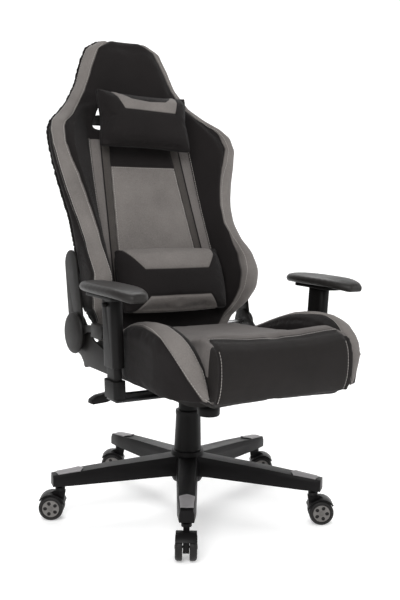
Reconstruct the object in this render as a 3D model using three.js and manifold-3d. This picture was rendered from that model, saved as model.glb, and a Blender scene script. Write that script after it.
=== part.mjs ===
// Gaming chair: five-star base on twin-wheel casters, gas lift, tilt mechanism, bucket seat,
// height-adjustable armrests and a winged reclining backrest with head and lumbar pillows.
// Millimetres, +Z up. The chair faces -Y, so the sitter's right hand is at -X.
import * as THREE from 'three';
import { mergeVertices } from 'three/addons/utils/BufferGeometryUtils.js';
import Module from 'manifold-3d';

const wasm = await Module();
wasm.setup();

// ---------------------------------------------------------------- driving dimensions
const GAP = 0.5; // clearance left between neighbouring pieces
const CENTRE = [9, -18]; // puts the middle of the chair's footprint over the origin

const ARM_COUNT = 5;
const FIRST_ARM_DEG = -31; // heading of the first base arm, measured from -Y towards +X
const ARM_REACH = 345;
const ARM_TIP_TOP = 112;
const HUB_TOP = 150;
const HUB_BOTTOM = 72;
const STEM_RING = 325; // radius of the circle through the caster stems
const WHEEL_RADIUS = 30;
const WHEEL_WIDTH = 16.5;
const WHEEL_INNER = 8; // from the caster's middle to the near face of a wheel
const TRAIL = 20; // from the caster's stem to its axle
const STEM_RADIUS = 5.5;
const CASTER_HEADINGS_DEG = [-31, 59, 59, 239, 239]; // trail headings, one for each base arm

const STAND_RADIUS = 22.5;
const STAND_TOP = 245;
const LIFT_RADIUS = 14;
const LIFT_TOP = 321;
const SHROUD_TOP = 253;
const PAN_BOTTOM = 291; // underside of the tilt mechanism's pan
const PAN_HALF_WIDTH = 50;
const TILT_Y = -60;
const TILT_Z = 317;
const AXLE_RADIUS = 6;
const KNOB_Y = -95;
const KNOB_RADIUS = 28;
const LEVER_Y = -8;
const LEVER_Z = 313;

const PLATE_BOTTOM = 340; // underside of the tilting seat plate
const BOARD_BOTTOM = 345;
const BOARD_TOP = 359;
const SEAT_FRONT = -412;
const SEAT_REAR = 84;
const TUBE_CENTRE = [0, 97, 374]; // tube joining the two lower recliner plates
const SEAT_INNER = 186; // half width of the middle cushion
const SEAT_OUTER = 261; // half width over the side bolsters

const ARM_X = 279; // armrest column at the height of its collar
const ARM_Y = -145;
const COLLAR_Z = 343;
const SPLAY_DEG = 2.8;
const POST_SIZE = [20, 48];
const SLEEVE_SIZE = [29, 60];
const PAD_SIZE = [90, 258];

const HINGE_Y = 127;
const HINGE_Z = 447;
const PLATE_X = 242; // inner face of the lower recliner plates
const PLATE_THICK = 4.5;

// Backrest sections from the seat up: [height, middle front, wing front, inner seam x,
// outer seam x, half width, side y, rear y]
const BACK_SECTIONS = [
  [424, 108, 104, 150, 176, 184, 128, 172],
  [470, 122, 96, 168, 198, 208, 128, 190],
  [510, 132, 66, 186, 226, 236, 124, 206],
  [550, 148, 44, 192, 236, 245, 122, 222],
  [595, 166, 38, 196, 236, 245, 126, 240],
  [640, 184, 64, 200, 233, 245, 146, 258],
  [680, 200, 110, 198, 229, 244, 166, 274],
  [720, 216, 148, 197, 228, 243, 188, 288],
  [770, 236, 179, 202, 236, 250, 211, 306],
  [820, 256, 196, 214, 249, 260, 227, 323],
  [870, 275, 207, 230, 262, 271, 236, 339],
  [915, 292, 214, 243, 269, 277, 245, 354],
  [950, 304, 232, 244, 265, 274, 262, 365],
  [975, 312, 258, 226, 247, 258, 284, 373],
  [1000, 321, 290, 193, 212, 222, 312, 382],
  [1030, 330, 322, 164, 180, 187, 344, 392],
  [1080, 346, 344, 133, 146, 153, 368, 408],
  [1130, 358, 358, 112, 126, 133, 382, 422],
  [1170, 366, 368, 90, 104, 112, 390, 432],
  [1192, 376, 378, 52, 62, 68, 398, 434],
];
const REAR_COVER = 11; // thickness of the upholstered rear cover
const COVER_GAP = 5; // between the cushion's rear face and the cover
const FRAME_TUBE = 16;
const FRAME_DEPTH = 36; // from the cushion's rear face to the frame's rear
const SLOT = [[-88, 1034], [-108, 1034], [-139, 968], [-132, 958], [-86, 958], [-78, 968]];
const SLOT_FRONT = 305; // the strap slots lean inwards behind this depth
const SLOT_SLANT = 0.25;

// ---------------------------------------------------------------- materials
const material = (color, roughness, metalness = 0) =>
  new THREE.MeshStandardMaterial({ color, roughness, metalness });
const BLACK_FABRIC = 0x2b2828;
const GREY_FABRIC = 0x7d7874;
const NYLON = 0x242324;
const STEEL = 0x2a2a2b;

// ---------------------------------------------------------------- solids
function solid(geometry) {
  const plain = geometry.clone();
  plain.deleteAttribute('normal');
  plain.deleteAttribute('uv');
  const merged = mergeVertices(plain, 1e-3);
  return new wasm.Manifold(new wasm.Mesh({
    numProp: 3,
    vertProperties: new Float32Array(merged.attributes.position.array),
    triVerts: new Uint32Array(merged.index.array),
  }));
}

function geometryOf(manifold) {
  const mesh = manifold.getMesh();
  const geometry = new THREE.BufferGeometry();
  geometry.setAttribute('position', new THREE.BufferAttribute(mesh.vertProperties, 3));
  geometry.setIndex(new THREE.BufferAttribute(mesh.triVerts, 1));
  return geometry;
}

const join = (...pieces) =>
  geometryOf(pieces.map(solid).reduce((whole, piece) => whole.add(piece)));
const cut = (body, ...tools) =>
  geometryOf(tools.map(solid).reduce((rest, tool) => rest.subtract(tool), solid(body)));

function outline(points) {
  return new THREE.Shape(points.map(([x, y]) => new THREE.Vector2(x, y)));
}

function roundedRect(width, height, radius) {
  const [w, h, r] = [width / 2 - radius, height / 2 - radius, radius];
  const shape = new THREE.Shape();
  shape.absarc(w, h, r, 0, Math.PI / 2);
  shape.absarc(-w, h, r, Math.PI / 2, Math.PI);
  shape.absarc(-w, -h, r, Math.PI, 1.5 * Math.PI);
  shape.absarc(w, -h, r, 1.5 * Math.PI, 2 * Math.PI);
  return shape;
}

const prism = (shape, depth, curveSegments = 5) =>
  new THREE.ExtrudeGeometry(shape, { depth, bevelEnabled: false, curveSegments });
// A shape drawn in (y, z) and extruded from x0 to x1.
const prismX = (shape, x0, x1, segments = 5) =>
  prism(shape, x1 - x0, segments).rotateY(Math.PI / 2).rotateX(Math.PI / 2).translate(x0, 0, 0);
// A shape drawn in (x, z) and extruded from y0 to y1.
const prismY = (shape, y0, y1, segments = 5) =>
  prism(shape, y1 - y0, segments).rotateX(Math.PI / 2).translate(0, y1, 0);
const box = (size, centre) => new THREE.BoxGeometry(...size).translate(...centre);

function rod(radius, length, axis, centre, segments = 16) {
  const geometry = new THREE.CylinderGeometry(radius, radius, length, segments);
  if (axis === 'x') geometry.rotateZ(Math.PI / 2);
  if (axis === 'z') geometry.rotateX(Math.PI / 2);
  return geometry.translate(...centre);
}

// Turned about Z from [radius, height] points.
function turned(points, segments = 24) {
  const profile = points.map(([r, z]) => new THREE.Vector2(r, z));
  return new THREE.LatheGeometry(profile, segments).rotateX(Math.PI / 2);
}

// Moves every vertex of a geometry to where the given function puts it.
function shaped(geometry, place) {
  const position = geometry.attributes.position;
  const point = new THREE.Vector3();
  for (let i = 0; i < position.count; i += 1) {
    point.fromBufferAttribute(position, i);
    position.setXYZ(i, ...place(point.x, point.y, point.z));
  }
  return geometry;
}

const mix = THREE.MathUtils.lerp;
const radians = THREE.MathUtils.degToRad;

// Value at x on the straight lines through [x, value] points.
function along(points, x) {
  const next = points.findIndex((point) => point[0] >= x);
  if (next === 0) return points[0][1];
  if (next < 0) return points[points.length - 1][1];
  const [[x0, v0], [x1, v1]] = [points[next - 1], points[next]];
  return mix(v0, v1, (x - x0) / (x1 - x0));
}

const chair = new THREE.Group();
chair.position.set(CENTRE[0], CENTRE[1], 0);

function add(name, geometry, look, parent = chair) {
  const mesh = new THREE.Mesh(geometry, look);
  mesh.name = name;
  parent.add(mesh);
  return mesh;
}

// The two sides: the sitter's right is at -X.
const SIDES = [['right', -1], ['left', 1]];

// A geometry made for the -X side is mirrored for the +X side.
function onSide(geometry, side) {
  if (side < 0) return geometry;
  const flipped = mergeVertices(bare(geometry), 1e-3).scale(-1, 1, 1);
  const index = flipped.index.array;
  for (let i = 0; i < index.length; i += 3) [index[i], index[i + 1]] = [index[i + 1], index[i]];
  return flipped;
}

function bare(geometry) {
  const plain = geometry.clone();
  plain.deleteAttribute('normal');
  plain.deleteAttribute('uv');
  return plain;
}

// ---------------------------------------------------------------- star base
// One arm lying along +X: a box drawn out to the arm's top, bottom and tapering sides.
function baseArm(inset) {
  const start = 20;
  const end = ARM_REACH - inset;
  const top = [[0, 142], [60, 138], [200, 127], [ARM_REACH, ARM_TIP_TOP]];
  const bottom = [[0, 90], [80, 90], [250, 86], [ARM_REACH, 84]];
  const unit = new THREE.BoxGeometry(1, 2, 1, 7, 2, 3).translate(0.5, 0, 0.5);
  return shaped(unit, (u, v, w) => {
    const r = mix(start, end, u);
    const tip = u === 1 ? 0.8 : 1;
    const halfWidth = (mix(27, 21, u) - inset) * tip * (w > 0.9 ? 0.82 : 1);
    const low = inset > 0 ? 60 : along(bottom, r);
    return [r, v * halfWidth, mix(low, along(top, r) - inset, w)];
  });
}

function starBase() {
  const hub = turned([
    [0, HUB_BOTTOM], [36, HUB_BOTTOM], [42, 84], [44, 128], [40, HUB_TOP], [0, HUB_TOP],
  ]);
  const socket = turned([
    [0, HUB_BOTTOM - 1], [20 + GAP, HUB_BOTTOM - 1], [STAND_RADIUS + GAP, 110],
    [STAND_RADIUS + GAP, HUB_TOP + 20], [0, HUB_TOP + 20],
  ]);
  const arms = [];
  const hollows = [];
  const bosses = [];
  const holes = [];
  for (let i = 0; i < ARM_COUNT; i += 1) {
    const heading = radians(FIRST_ARM_DEG + (360 / ARM_COUNT) * i - 90);
    arms.push(baseArm(0).rotateZ(heading));
    hollows.push(cut(baseArm(4), rod(48, 200, 'z', [0, 0, 100])).rotateZ(heading));
    bosses.push(rod(12, 30, 'z', [STEM_RING, 0, 97], 12).rotateZ(heading));
    holes.push(rod(STEM_RADIUS + GAP, 40, 'z', [STEM_RING, 0, 82], 12).rotateZ(heading));
  }
  const shell = cut(join(hub, ...arms), ...hollows);
  return cut(join(shell, ...bosses), socket, ...holes);
}

// ---------------------------------------------------------------- casters
// Stem over the origin, axle along Y at x = TRAIL.
function casterFork() {
  const hood = new THREE.Shape();
  const [low, high] = [radians(35), radians(160)];
  hood.absarc(0, 0, WHEEL_RADIUS + 5, low, high, false);
  hood.absarc(0, 0, WHEEL_RADIUS + 1.6, high, low, true);
  const halfWidth = WHEEL_INNER + WHEEL_WIDTH - 1;
  const cover = prismY(hood, -halfWidth, halfWidth, 5).translate(TRAIL, 0, WHEEL_RADIUS);
  const web = prismY(outline([[-13, 70], [-9, 44], [4, 22], [TRAIL, 14], [38, 22], [40, 48],
    [26, 64], [14, 70]]), -WHEEL_INNER + 1, WHEEL_INNER - 1);
  const seatRing = rod(12, 8, 'z', [0, 0, 74], 12);
  const stem = rod(STEM_RADIUS, 32, 'z', [0, 0, 84], 12);
  const axle = rod(3, 2 * (WHEEL_INNER + WHEEL_WIDTH) - 3, 'y', [TRAIL, 0, WHEEL_RADIUS], 8);
  return join(web, cover, seatRing, stem, axle);
}

// Dished wheel with a rounded tread, turned about Y.
function casterWheel(side) {
  const inner = WHEEL_INNER;
  const outer = WHEEL_INNER + WHEEL_WIDTH;
  const profile = [
    [3.5, inner], [WHEEL_RADIUS - 1.5, inner], [WHEEL_RADIUS, inner + 3],
    [WHEEL_RADIUS, outer - 5], [WHEEL_RADIUS - 4, outer - 0.5], [22, outer], [21, outer - 2],
    [3.5, outer - 2], [3.5, inner],
  ];
  const points = profile.map(([r, y]) => new THREE.Vector2(r, y));
  const wheel = new THREE.LatheGeometry(points, 16);
  if (side < 0) wheel.rotateX(Math.PI);
  return wheel.translate(TRAIL, 0, WHEEL_RADIUS);
}

function addCasters() {
  for (let i = 0; i < ARM_COUNT; i += 1) {
    const heading = radians(FIRST_ARM_DEG + (360 / ARM_COUNT) * i - 90);
    const caster = new THREE.Group();
    caster.position.set(STEM_RING * Math.cos(heading), STEM_RING * Math.sin(heading), 0);
    caster.rotation.z = radians(CASTER_HEADINGS_DEG[i] - 90);
    chair.add(caster);
    const number = i + 1;
    add(`caster_fork_${number}`, casterFork(), material(NYLON, 0.45), caster);
    add(`caster_wheel_${number}a`, casterWheel(1), material(0x3a3938, 0.55), caster);
    add(`caster_wheel_${number}b`, casterWheel(-1), material(0x3a3938, 0.55), caster);
  }
}

// ---------------------------------------------------------------- gas lift and covers
function addLift() {
  add('lift_stand_tube', turned([
    [0, HUB_BOTTOM], [20, HUB_BOTTOM], [STAND_RADIUS, 110], [STAND_RADIUS, STAND_TOP],
    [LIFT_RADIUS + GAP, STAND_TOP], [LIFT_RADIUS + GAP, 80], [0, 80],
  ]), material(STEEL, 0.35, 0.9));
  add('lift_cylinder', turned([
    [0, 104], [LIFT_RADIUS, 104], [LIFT_RADIUS, LIFT_TOP - 8], [12.5, LIFT_TOP - 4],
    [5, LIFT_TOP - 4], [5, LIFT_TOP], [0, LIFT_TOP],
  ]), material(STEEL, 0.3, 0.9));
  add('shroud_lower', turned([
    [32, HUB_TOP + GAP], [35, HUB_TOP + GAP], [34, 156], [31.2, 240], [32.2, 242],
    [32.2, SHROUD_TOP], [25.8, SHROUD_TOP], [25.8, SHROUD_TOP - 3], [29, 238], [32, HUB_TOP + GAP],
  ]), material(NYLON, 0.5));
}

function addMechanism() {
  add('shroud_upper', turned([
    [23.4, 172], [25.2, 172], [25.2, PAN_BOTTOM - GAP], [23.4, PAN_BOTTOM - GAP], [23.4, 172],
  ]), material(NYLON, 0.5));

  const wall = 3;
  const side = outline([
    [-128, 299], [-118, PAN_BOTTOM], [34, PAN_BOTTOM], [40, 299], [40, 317], [-20, 326],
    [-44, 331], [-76, 331], [-128, 325],
  ]);
  const inside = box([2 * (PAN_HALF_WIDTH - wall), 158, 60], [0, -43, PAN_BOTTOM + wall + 30]);
  const boss = rod(25, 24, 'z', [0, 0, PAN_BOTTOM + 14], 20);
  const bore = rod(LIFT_RADIUS + GAP, 80, 'z', [0, 0, 300], 24);
  const axleHole = rod(AXLE_RADIUS + GAP, 140, 'x', [0, TILT_Y, TILT_Z]);
  const boltHole = rod(5.5, 30, 'z', [0, KNOB_Y, PAN_BOTTOM]);
  const leverHole = rod(8 + GAP, 30, 'x', [-PAN_HALF_WIDTH, LEVER_Y, LEVER_Z]);
  const pan = cut(prismX(side, -PAN_HALF_WIDTH, PAN_HALF_WIDTH), inside);
  add('mechanism_pan', cut(join(pan, boss), bore, axleHole, boltHole, leverHole),
    material(STEEL, 0.5, 0.8));

  add('tilt_axle', rod(AXLE_RADIUS, 128, 'x', [0, TILT_Y, TILT_Z]), material(0x8a8a8c, 0.3, 1));
  add('tension_knob', join(
    turned([[0, 259], [25, 259], [KNOB_RADIUS, 263], [KNOB_RADIUS, 281], [25, 285], [9, 288],
      [0, 288]], 24).translate(0, KNOB_Y, 0),
    rod(5, 50, 'z', [0, KNOB_Y, 300], 12),
  ), material(NYLON, 0.5));
  add('tension_spring', tensionSpring(), material(0x6d6d70, 0.35, 1));
}

// Compression spring standing in the pan around the knob's bolt.
function tensionSpring() {
  class Helix extends THREE.Curve {
    getPoint(t) {
      const turns = 4;
      const angle = 2 * Math.PI * turns * t;
      const radius = 14;
      return new THREE.Vector3(radius * Math.cos(angle), radius * Math.sin(angle), 25 * t);
    }
  }
  const wire = new THREE.Shape();
  wire.absarc(0, 0, 2, 0, 2 * Math.PI);
  const coil = new THREE.ExtrudeGeometry(wire, {
    steps: 44, curveSegments: 3, bevelEnabled: false, extrudePath: new Helix(),
  });
  return coil.translate(0, KNOB_Y, PAN_BOTTOM + 6);
}

// Bush turning in the pan's side, and the lever that slides in it and ends in a paddle.
function addHeightLever() {
  const bushOuter = PAN_HALF_WIDTH + 9;
  const bush = cut(
    join(
      rod(8, 26, 'x', [-bushOuter + 13, LEVER_Y, LEVER_Z], 20),
      rod(12, 6, 'x', [-bushOuter + 3, LEVER_Y, LEVER_Z], 20),
    ),
    rod(4 + GAP, 60, 'x', [-bushOuter + 10, LEVER_Y, LEVER_Z], 16),
  );
  add('lever_bush', bush, material(NYLON, 0.5));

  const reach = 262;
  const stem = rod(4, reach - 60, 'x', [-(reach + 20) / 2, LEVER_Y, LEVER_Z], 16);
  const paddle = prismY(outline([
    [-36, -13], [-30, -15], [4, -13], [32, -4], [32, 5], [12, 9], [-20, 4], [-34, -4],
  ]), -10, 10);
  add('height_lever', join(stem, paddle.translate(-reach + 20, LEVER_Y, LEVER_Z)),
    material(NYLON, 0.45));
}

// ---------------------------------------------------------------- seat
function addSeatBase() {
  const top = box([190, 240, 4], [0, -38, PLATE_BOTTOM + 2]);
  const flange = (side) => prismX(outline([
    [-92, PLATE_BOTTOM + 1], [-76, 306], [-44, 306], [-28, PLATE_BOTTOM + 1],
  ]), side * 54.5 - 1.8, side * 54.5 + 1.8);
  const axleHole = rod(AXLE_RADIUS + GAP, 160, 'x', [0, TILT_Y, TILT_Z]);
  add('seat_plate', cut(join(top, flange(-1), flange(1)), axleHole), material(STEEL, 0.5, 0.8));

  const board = roundedRect(364, 390, 30);
  add('seat_board', prism(board, BOARD_TOP - BOARD_BOTTOM, 4).translate(0, -125, BOARD_BOTTOM),
    material(0x8a6f4d, 0.7));
  add('seat_cross_tube', rod(10, 2 * PLATE_X - 1, 'x', TUBE_CENTRE, 16),
    material(STEEL, 0.45, 0.8));
}

// Middle cushion: a waterfall profile drawn in (y, z), softened at both ends.
function seatCushion() {
  const low = BOARD_TOP + GAP;
  const profile = new THREE.Shape();
  profile.moveTo(SEAT_REAR - 14, low);
  profile.quadraticCurveTo(SEAT_REAR, low + 10, SEAT_REAR, 400);
  profile.quadraticCurveTo(SEAT_REAR - 2, 446, SEAT_REAR - 40, 453);
  profile.bezierCurveTo(-60, 460, -180, 464, -290, 482);
  profile.bezierCurveTo(-345, 500, -394, 496, SEAT_FRONT + 6, 458);
  profile.bezierCurveTo(SEAT_FRONT - 2, 430, SEAT_FRONT, 390, -396, 366);
  profile.quadraticCurveTo(-390, low, -370, low);
  const bevel = 8;
  const depth = 2 * (SEAT_INNER - bevel - GAP);
  const body = new THREE.ExtrudeGeometry(profile, {
    depth, curveSegments: 6, bevelSize: 0, bevelThickness: bevel, bevelSegments: 1, bevelOffset: 0,
  });
  return body.rotateY(Math.PI / 2).rotateX(Math.PI / 2).translate(-depth / 2, 0, 0);
}

// Side bolster for the -X side: a hump along the seat whose front turns in and down.
function seatBolster() {
  const low = 372;
  const hump = [[-400, 388], [-396, 412], [-380, 452], [-350, 486], [-310, 510], [-262, 522],
    [-200, 522], [-140, 512], [-80, 492], [-20, 468], [30, 450], [74, 440]];
  const front = hump[0][0];
  const rear = hump[hump.length - 1][0];
  const outer = [[-400, 198], [-392, 218], [-376, 236], [-350, 250], [-300, SEAT_OUTER - 1],
    [-150, SEAT_OUTER - 2], [-92, 238], [74, 236]];
  const unit = new THREE.BoxGeometry(1, 1, 1, 4, 14, 3).translate(0.5, 0.5, 0.5);
  return shaped(unit, (u, v, w) => {
    const y = mix(front, rear, v < 0.4 ? 0.62 * v : mix(0.248, 1, (v - 0.4) / 0.6));
    const crown = Math.sin(Math.PI * mix(0.14, 0.86, u));
    const height = mix(low, along(hump, y), w);
    const swell = (1 - w) * (y < -340 ? 16 : 6);
    const x = mix(SEAT_INNER + GAP, along(outer, y) - swell, u);
    const drop = w === 1 ? (1 - crown) * Math.min(24, 0.5 * (height - low)) : 0;
    return [-x, y, height - drop];
  });
}

function addSeat() {
  addSeatBase();
  add('seat_cushion', seatCushion(), material(GREY_FABRIC, 0.9));
  for (const [name, side] of SIDES) {
    add(`seat_bolster_${name}`, onSide(turnInsideOut(seatBolster()), side),
      material(BLACK_FABRIC, 0.9));
  }
}

// Reverses the winding of a solid that was mirrored while it was shaped.
function turnInsideOut(geometry) {
  const merged = mergeVertices(bare(geometry), 1e-3);
  const index = merged.index.array;
  for (let i = 0; i < index.length; i += 3) [index[i], index[i + 1]] = [index[i + 1], index[i]];
  return merged;
}

// ---------------------------------------------------------------- armrests
// The armrest column stands in its own leaning frame, with z = 0 at the foot of the collar.
function columnFrame(side) {
  const frame = new THREE.Group();
  frame.position.set(side * ARM_X, ARM_Y, COLLAR_Z);
  frame.rotation.y = radians(side * SPLAY_DEG);
  chair.add(frame);
  return frame;
}

const tube = (size, radius, low, high) =>
  prism(roundedRect(size[0], size[1], radius), high - low, 4).translate(0, 0, low);
const grown = (size, by) => [size[0] + by, size[1] + by];

function armBracket() {
  const bar = box([150, 50, 6], [-ARM_X + 66, ARM_Y, COLLAR_Z - 5]);
  const tang = box([6, 34, 70], [0, 0, 29]).rotateY(radians(-SPLAY_DEG));
  return join(bar, tang.translate(-ARM_X, ARM_Y, COLLAR_Z));
}

// Pad with a rounded plan, flat over the column and drooping towards both ends.
function armPad() {
  const [width, length] = PAD_SIZE;
  const unit = new THREE.BoxGeometry(2, 2, 1, 4, 12, 2).translate(0, 0, 0.5);
  return shaped(unit, (u, v, w) => {
    const plan = Math.sqrt(1 - Math.abs(v) ** 3.2 * 0.82);
    const swell = w === 0.5 ? 1 : 0.86;
    const y = (v * length * (w === 0.5 ? 1 : 0.97)) / 2 - 9;
    const ahead = Math.max(0, -y - 75) / 62;
    const behind = Math.max(0, y - 75) / 50;
    const thick = 22 - 4 * Math.abs(v) ** 3;
    const crown = w === 1 ? 3 * (1 - u * u) : 0;
    return [(u * swell * plan * width) / 2, y, thick * w + crown - 7 * ahead ** 1.5 - 3 * behind ** 2];
  });
}

function addArmrest(name, side) {
  add(`arm_bracket_${name}`, onSide(armBracket(), side), material(STEEL, 0.5, 0.8));
  const frame = columnFrame(side);
  const cavity = grown(POST_SIZE, 2 * GAP);
  const plastic = material(NYLON, 0.5);
  add(`arm_collar_${name}`, cut(tube([30, 62], 11, 0, 40), tube(cavity, 9, -1, 41)), plastic, frame);
  add(`arm_post_${name}`, cut(
    tube(POST_SIZE, 9, 2, 165),
    box([7, 35, 80], [0, 0, 26]),
  ), material(0x1d1d1e, 0.4), frame);

  const sleeveLow = 70;
  const sleeveTop = 223;
  const button = [side * (SLEEVE_SIZE[0] / 2 - 1), 0, sleeveTop - 12];
  const sleeve = cut(
    tube(SLEEVE_SIZE, 12, sleeveLow, sleeveTop),
    tube(cavity, 9, sleeveLow - 1, sleeveTop - 24),
    rod(5 + GAP, 26, 'x', button),
  );
  add(`arm_sleeve_${name}`, sleeve, material(NYLON, 0.45), frame);
  add(`arm_button_${name}`, rod(5, 16, 'x', [side * (SLEEVE_SIZE[0] / 2 + 2), 0, button[2]]),
    material(0x4a4948, 0.4), frame);

  const level = new THREE.Group();
  level.position.set(side * 3, 0, sleeveTop + 6);
  level.rotation.y = -radians(side * SPLAY_DEG);
  frame.add(level);
  const plate = tube([62, 150], 18, -4, 3);
  add(`arm_pad_plate_${name}`, plate, material(NYLON, 0.5), level);
  add(`arm_pad_${name}`, armPad().translate(0, 0, 3 + GAP), material(0x3a3836, 0.5), level);
}

// ---------------------------------------------------------------- recliner
// The lever side has the larger hinge: each side's plate eyes and cover have their own radii.
const HINGE_RADII = { right: [48, 42, 52], left: [34, 31, 29] };

function lowerPlate(radius) {
  const shape = new THREE.Shape();
  shape.moveTo(-70, 372);
  shape.lineTo(88, 372);
  shape.lineTo(112, 440 - radius);
  shape.absarc(HINGE_Y, HINGE_Z, radius, radians(-75), radians(140), false);
  shape.lineTo(40, 392 + radius);
  shape.lineTo(-70, 414);
  return shape;
}

function upperPlate(radius) {
  const lean = Math.atan2(44, 170);
  const shape = new THREE.Shape();
  const top = [HINGE_Y + 40, HINGE_Z + 168];
  shape.absarc(top[0], top[1], Math.min(34, radius - 3), -lean, Math.PI - lean, false);
  shape.absarc(HINGE_Y, HINGE_Z, radius, Math.PI - lean, 2 * Math.PI - lean, false);
  return shape;
}

function recliningPlate(shape, inner, hole) {
  const plate = prismX(shape, -inner - PLATE_THICK, -inner, 8);
  return cut(plate, rod(hole, 60, 'x', [-inner, HINGE_Y, HINGE_Z], 20));
}

function addRecliner() {
  const upperX = PLATE_X + PLATE_THICK + GAP;
  const coverX = upperX + PLATE_THICK + 3.5;
  const rodRadius = 6;
  for (const [name, side] of SIDES) {
    const [lowerEye, upperEye, coverRadius] = HINGE_RADII[name];
    const lower = recliningPlate(lowerPlate(lowerEye), PLATE_X, rodRadius + GAP);
    add(`hinge_plate_lower_${name}`, onSide(lower, side), material(0x3c3a38, 0.5, 0.5));
    const upper = recliningPlate(upperPlate(upperEye), upperX, rodRadius + GAP);
    add(`hinge_plate_upper_${name}`, onSide(upper, side), material(0x3c3a38, 0.5, 0.5));
    const r = coverRadius;
    const cover = turned([[0, 0], [r - 2, 0], [r, 3], [r - 2, 8], [r - 14, 12], [0, 13]], 28)
      .rotateY(-Math.PI / 2).translate(-coverX, HINGE_Y, HINGE_Z);
    add(`hinge_cover_${name}`, onSide(cover, side), material(0x35322f, 0.55));
  }

  const leverX = upperX + PLATE_THICK + GAP;
  const strip = prismX(outline([
    [HINGE_Y + 12, HINGE_Z - 10], [HINGE_Y + 14, HINGE_Z + 10], [60, 476], [4, 482],
    [4, 464], [60, 458], [HINGE_Y - 10, HINGE_Z - 12],
  ]), -leverX - 2.5, -leverX);
  const handle = prismX(outline([
    [8, 456], [-36, 454], [-50, 460], [-54, 472], [-46, 486], [8, 488],
  ]), -leverX - 17, -leverX + 4);
  add('recline_lever', join(strip, handle), material(0x3a3836, 0.5));
  const rodEnds = [-leverX + GAP, PLATE_X + 2 * PLATE_THICK];
  add('sync_rod', rod(rodRadius, rodEnds[1] - rodEnds[0], 'x',
    [(rodEnds[0] + rodEnds[1]) / 2, HINGE_Y, HINGE_Z]), material(0x77777a, 0.35, 1));
}

// ---------------------------------------------------------------- backrest
const BACK_LOW = BACK_SECTIONS[0][0];
const BACK_HIGH = BACK_SECTIONS[BACK_SECTIONS.length - 1][0];
const column = (index) => BACK_SECTIONS.map((row) => [row[0], row[index]]);
const MIDDLE_Y = column(1);
const REAR_Y = column(7);

// Unit box (x across, y through, z up) drawn out to the backrest between two depths.
function backShape(columns, layers, place) {
  const rows = BACK_SECTIONS.length - 1;
  const unit = new THREE.BoxGeometry(2, 1, rows, columns, layers, rows).translate(0, 0.5, rows / 2);
  return shaped(unit, (u, v, w) => {
    const [z, ...section] = BACK_SECTIONS[Math.round(w)];
    const [x, y] = place(Math.abs(u), v, section);
    return [Math.sign(u) * x, y, z];
  });
}

const rearFace = (u, half, sideY, rear) =>
  [(half - 12) * u, rear - (rear - sideY - 26) * u ** 4];

function backCushion() {
  return backShape(12, 2, (u, v, [middle, wing, seamIn, seamOut, half, sideY, rear]) => {
    const flat = Math.min(0.78 * seamIn, 155);
    const step = 1 / 6;
    const xs = [[0, 0], [2 * step, flat], [3 * step, mix(flat, seamIn, 0.55)],
      [4 * step, seamIn], [1, seamOut]];
    const fronts = [[0, middle], [2 * step, middle - 6], [3 * step, mix(middle, wing, 0.6)],
      [4 * step, wing], [5 * step, wing - 4], [1, wing + 6]];
    const [rearX, rearY] = rearFace(u, half, sideY, rear);
    if (v === 0) return [along(xs, u), along(fronts, u)];
    if (v === 1) return [rearX, rearY];
    return u === 1 ? [half, sideY] : [(along(xs, u) + rearX) / 2, (along(fronts, u) + rearY) / 2];
  });
}

function rearCover() {
  return backShape(12, 1, (u, v, [, , , , half, sideY, rear]) => {
    const [x, y] = rearFace(u, half, sideY, rear);
    return [x, y + COVER_GAP + (REAR_COVER - (u === 1 ? 6 : 0)) * v];
  });
}

// Steel tube loop lying in the rear of the cushion, drawn in (x, z).
function frameLoop(spread) {
  const loop = (by) => [[-150 - by, 500 - by], [150 + by, 500 - by], [172 + by, 640],
    [178 + by, 900], [112 + by, 1010], [84 + by, 1120 + by], [-84 - by, 1120 + by],
    [-112 - by, 1010], [-178 - by, 900], [-172 - by, 640]];
  const shape = outline(loop(8 + spread));
  shape.holes.push(outline(loop(-8 - spread)));
  return shape;
}

// The loop's solid, or with a spread the channel for it, which is open towards the rear.
function backFrame(spread = 0) {
  const behind = spread > 0 ? 60 : 0;
  const loop = prismY(frameLoop(spread), -FRAME_TUBE - spread, behind);
  return shaped(loop, (x, y, z) => [x, y + along(REAR_Y, z) - FRAME_DEPTH, z]);
}

function slotTools(grow = 0) {
  const centre = SLOT.reduce(([x, z], p) => [x + p[0] / SLOT.length, z + p[1] / SLOT.length], [0, 0]);
  const points = SLOT.map(([x, z]) => {
    const away = new THREE.Vector2(x - centre[0], z - centre[1]);
    away.setLength(away.length() + grow);
    return [centre[0] + away.x, centre[1] + away.y];
  });
  const tool = shaped(prismY(outline(points), 150, 520), (x, y, z) =>
    [x + SLOT_SLANT * (y - SLOT_FRONT), y, z]);
  return [tool, onSide(tool, 1)];
}

// A stuffed pillow: a box drawn out to rounded faces that thin towards its edges.
function pillow(halfWidth, halfHeight, thickness, waist) {
  const unit = new THREE.BoxGeometry(2, 1, 2, 10, 2, 6).translate(0, 0.5, 0);
  return shaped(unit, (u, v, w) => {
    const edge = (1 - Math.abs(u) ** 3.5) * (1 - Math.abs(w) ** 3.5);
    const puff = 0.22 + 0.78 * Math.sqrt(edge);
    const pinch = 1 - waist * Math.cos((Math.PI * w) / 2) ** 2 * Math.abs(u) ** 2;
    const bow = 1 - 0.06 * w * w;
    const y = thickness * (0.5 + (v - 0.5) * puff);
    return [u * halfWidth * pinch * bow, -y, w * halfHeight * (1 - 0.05 * u * u)];
  });
}

// Sets a pillow on the backrest's middle at a height, leaning with it.
function onBack(geometry, z, lean, lift) {
  const y = along(MIDDLE_Y, z);
  return geometry.translate(0, -lift, 0).rotateX(-lean).translate(0, y, z);
}

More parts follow.
